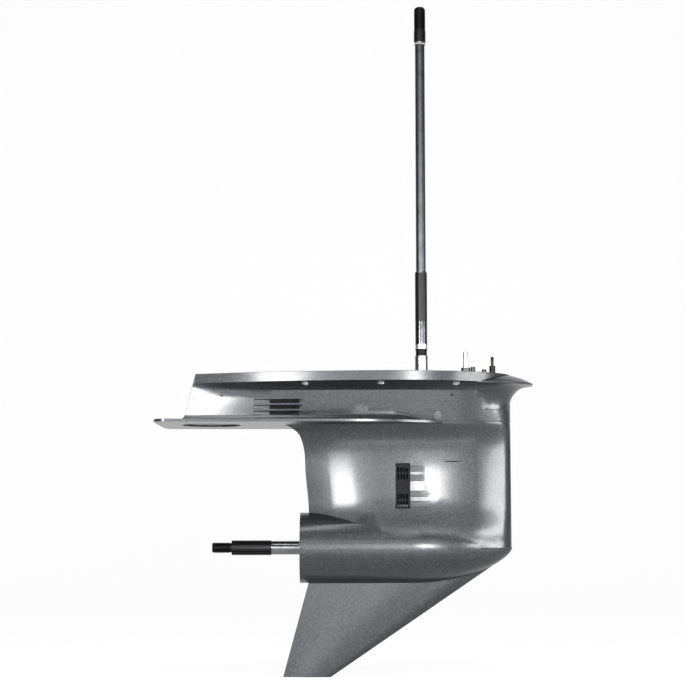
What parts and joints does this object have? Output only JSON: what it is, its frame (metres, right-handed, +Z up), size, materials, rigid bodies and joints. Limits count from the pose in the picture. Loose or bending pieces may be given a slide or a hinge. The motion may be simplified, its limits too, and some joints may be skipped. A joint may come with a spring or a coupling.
{
  "type": "outboard lower unit",
  "caption": "Outboard motor lower unit: cast gearcase with skeg and anti-ventilation plate, long drive shaft, bevel gears, dog clutch, water pump and splined propeller shaft.",
  "frame": {"origin": "in the plane of the upper mounting face, on the drive shaft's axis", "axes": "+X to the bow, +Y to port, +Z up along the drive shaft"},
  "size_m": [0.6365, 0.224, 1.1516],
  "materials": {
    "painted_case": "metallic gloss",
    "cast_aluminium": "as cast",
    "bearing_steel": "ground",
    "black_rubber": "matt",
    "gasket_fibre": "matt",
    "black_plastic": "satin",
    "stainless_steel": "satin",
    "brass_fitting": "dull",
    "shaft_steel": "turned",
    "gear_steel": "case hardened"
  },
  "bodies": {
    "gearcase": {"gearcase_housing": "painted_case", "bearing_carrier": "cast_aluminium", "carrier_ring_nut": "bearing_steel", "carrier_lock_washer": "bearing_steel", "carrier_o_ring": "black_rubber", "carrier_front_needle_bearing": "bearing_steel", "carrier_rear_needle_bearing": "bearing_steel", "inner_propeller_shaft_seal": "black_rubber", "outer_propeller_shaft_seal": "black_rubber", "forward_bearing_cup": "bearing_steel", "reverse_bearing_outer_race": "bearing_steel", "upper_bearing_cup": "bearing_steel", "pinion_needle_bearing": "bearing_steel", "drive_shaft_seal_housing": "black_plastic", "lower_drive_shaft_seal": "black_rubber", "upper_drive_shaft_seal": "black_rubber", "pump_base_gasket": "gasket_fibre", "pump_wear_plate": "stainless_steel", "pump_upper_gasket": "gasket_fibre", "water_pump_housing": "black_plastic", "pump_insert_cup": "stainless_steel", "water_pump_bolts": "stainless_steel", "water_pump_seal": "black_rubber", "shift_seal_housing": "black_plastic", "shift_shaft_seal": "black_rubber", "shift_housing_screw": "stainless_steel", "starboard_intake_screen": "stainless_steel", "port_intake_screen": "stainless_steel", "speedometer_nipple": "brass_fitting", "front_dowel": "stainless_steel", "level_plug": "stainless_steel", "level_plug_gasket": "gasket_fibre", "drain_plug": "stainless_steel", "drain_plug_gasket": "gasket_fibre"},
    "drive_shaft_group": {"drive_shaft": "shaft_steel", "pinion_gear": "gear_steel", "pinion_nut": "gear_steel", "pump_impeller": "black_rubber", "impeller_key": "stainless_steel", "upper_bearing_cone": "bearing_steel", "upper_bearing_rollers": "bearing_steel"},
    "forward_gear_group": {"forward_gear": "gear_steel", "forward_bearing_cone": "bearing_steel", "forward_bearing_rollers": "bearing_steel", "forward_gear_needle_bearing": "bearing_steel"},
    "reverse_gear_group": {"reverse_gear": "gear_steel", "reverse_bearing_inner_race": "bearing_steel", "reverse_bearing_balls": "bearing_steel"},
    "propeller_shaft_group": {"propeller_shaft": "shaft_steel", "reverse_thrust_washer": "bearing_steel"},
    "clutch_group": {"clutch_dog": "gear_steel", "clutch_cross_pin": "stainless_steel", "clutch_spring_ring": "stainless_steel", "shift_slider": "gear_steel"},
    "shift_shaft_group": {"shift_shaft": "shaft_steel"}
  },
  "joints": [
    {"name": "drive_spin", "type": "hinge", "parent": "gearcase", "child": "drive_shaft_group", "pos_m": [0, 0, 0], "axis": [0, 0, 1], "continuous": true},
    {"name": "forward_gear_spin", "type": "hinge", "parent": "gearcase", "child": "forward_gear_group", "pos_m": [0, 0, -0.291], "axis": [1, 0, 0], "continuous": true},
    {"name": "reverse_gear_spin", "type": "hinge", "parent": "gearcase", "child": "reverse_gear_group", "pos_m": [0, 0, -0.291], "axis": [1, 0, 0], "continuous": true},
    {"name": "propeller_spin", "type": "hinge", "parent": "gearcase", "child": "propeller_shaft_group", "pos_m": [0, 0, -0.291], "axis": [1, 0, 0], "continuous": true},
    {"name": "clutch_slide", "type": "slide", "parent": "propeller_shaft_group", "child": "clutch_group", "axis": [1, 0, 0], "range_m": [-0.0048, 0.0048]},
    {"name": "shift_turn", "type": "hinge", "parent": "gearcase", "child": "shift_shaft_group", "pos_m": [0.0755, 0, 0], "axis": [0, 0, 1], "range_deg": [-28, 28]}
  ],
  "couplings": [
    {"joint": "forward_gear_spin", "follows": "drive_spin", "ratio": -0.5},
    {"joint": "reverse_gear_spin", "follows": "drive_spin", "ratio": 0.5},
    {"joint": "clutch_slide", "follows": "shift_turn", "m_per_rad": -0.0096}
  ]
}
